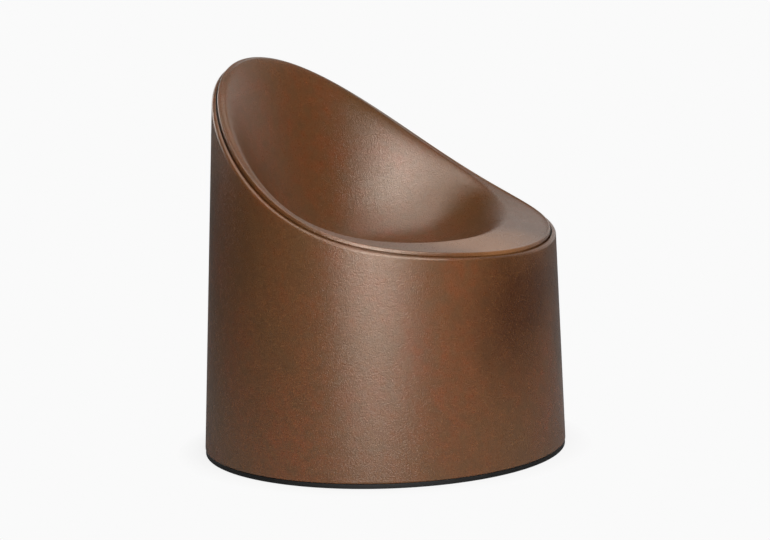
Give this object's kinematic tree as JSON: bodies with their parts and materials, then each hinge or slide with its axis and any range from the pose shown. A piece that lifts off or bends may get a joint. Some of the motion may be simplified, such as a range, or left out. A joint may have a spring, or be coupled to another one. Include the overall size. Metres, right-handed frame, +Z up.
{
  "type": "armchair",
  "caption": "Drum-shaped steel armchair whose top is cut on a rising curve and closed by a dished seat that sweeps up into the back.",
  "frame": {"origin": "centre of the footprint, on the floor", "axes": "+Z up, the open front of the seat faces -Y, the tall back is at +Y, the chair is the same either side of X = 0"},
  "size_m": [0.751, 0.691, 0.7519],
  "materials": {
    "outer_shell": "satin mottled brown coat with a fine grain",
    "seat_pan": "satin mottled brown coat with a fine grain",
    "primed_frame": "matt dark primer",
    "foot_rubber": "matt black",
    "trim_rubber": "matt black",
    "zinc_hardware": "bright zinc plate"
  },
  "bodies": {
    "root": {"base_ring": "primed_frame", "centre_rib": "primed_frame", "centre_rib_front_bracket": "zinc_hardware", "centre_rib_front_rib_bolt": "zinc_hardware", "centre_rib_front_rib_nut": "zinc_hardware", "centre_rib_front_ring_bolt": "zinc_hardware", "centre_rib_front_ring_nut": "zinc_hardware", "centre_rib_rear_bracket": "zinc_hardware", "centre_rib_rear_rib_bolt": "zinc_hardware", "centre_rib_rear_rib_nut": "zinc_hardware", "centre_rib_rear_ring_bolt": "zinc_hardware", "centre_rib_rear_ring_nut": "zinc_hardware", "foot_ring": "foot_rubber", "front_centre_trim": "trim_rubber", "front_rib": "primed_frame", "front_rib_left_bracket": "zinc_hardware", "front_rib_left_rib_bolt": "zinc_hardware", "front_rib_left_rib_nut": "zinc_hardware", "front_rib_left_ring_bolt": "zinc_hardware", "front_rib_left_ring_nut": "zinc_hardware", "front_rib_left_trim": "trim_rubber", "front_rib_right_bracket": "zinc_hardware", "front_rib_right_rib_bolt": "zinc_hardware", "front_rib_right_rib_nut": "zinc_hardware", "front_rib_right_ring_bolt": "zinc_hardware", "front_rib_right_ring_nut": "zinc_hardware", "front_rib_right_trim": "trim_rubber", "middle_centre_trim": "trim_rubber", "outer_shell": "outer_shell", "rear_centre_trim": "trim_rubber", "rear_rib": "primed_frame", "rear_rib_left_bracket": "zinc_hardware", "rear_rib_left_rib_bolt": "zinc_hardware", "rear_rib_left_rib_nut": "zinc_hardware", "rear_rib_left_ring_bolt": "zinc_hardware", "rear_rib_left_ring_nut": "zinc_hardware", "rear_rib_left_trim": "trim_rubber", "rear_rib_right_bracket": "zinc_hardware", "rear_rib_right_rib_bolt": "zinc_hardware", "rear_rib_right_rib_nut": "zinc_hardware", "rear_rib_right_ring_bolt": "zinc_hardware", "rear_rib_right_ring_nut": "zinc_hardware", "rear_rib_right_trim": "trim_rubber", "seat_ledge": "primed_frame", "seat_pan": "seat_pan"}
  },
  "joints": []
}
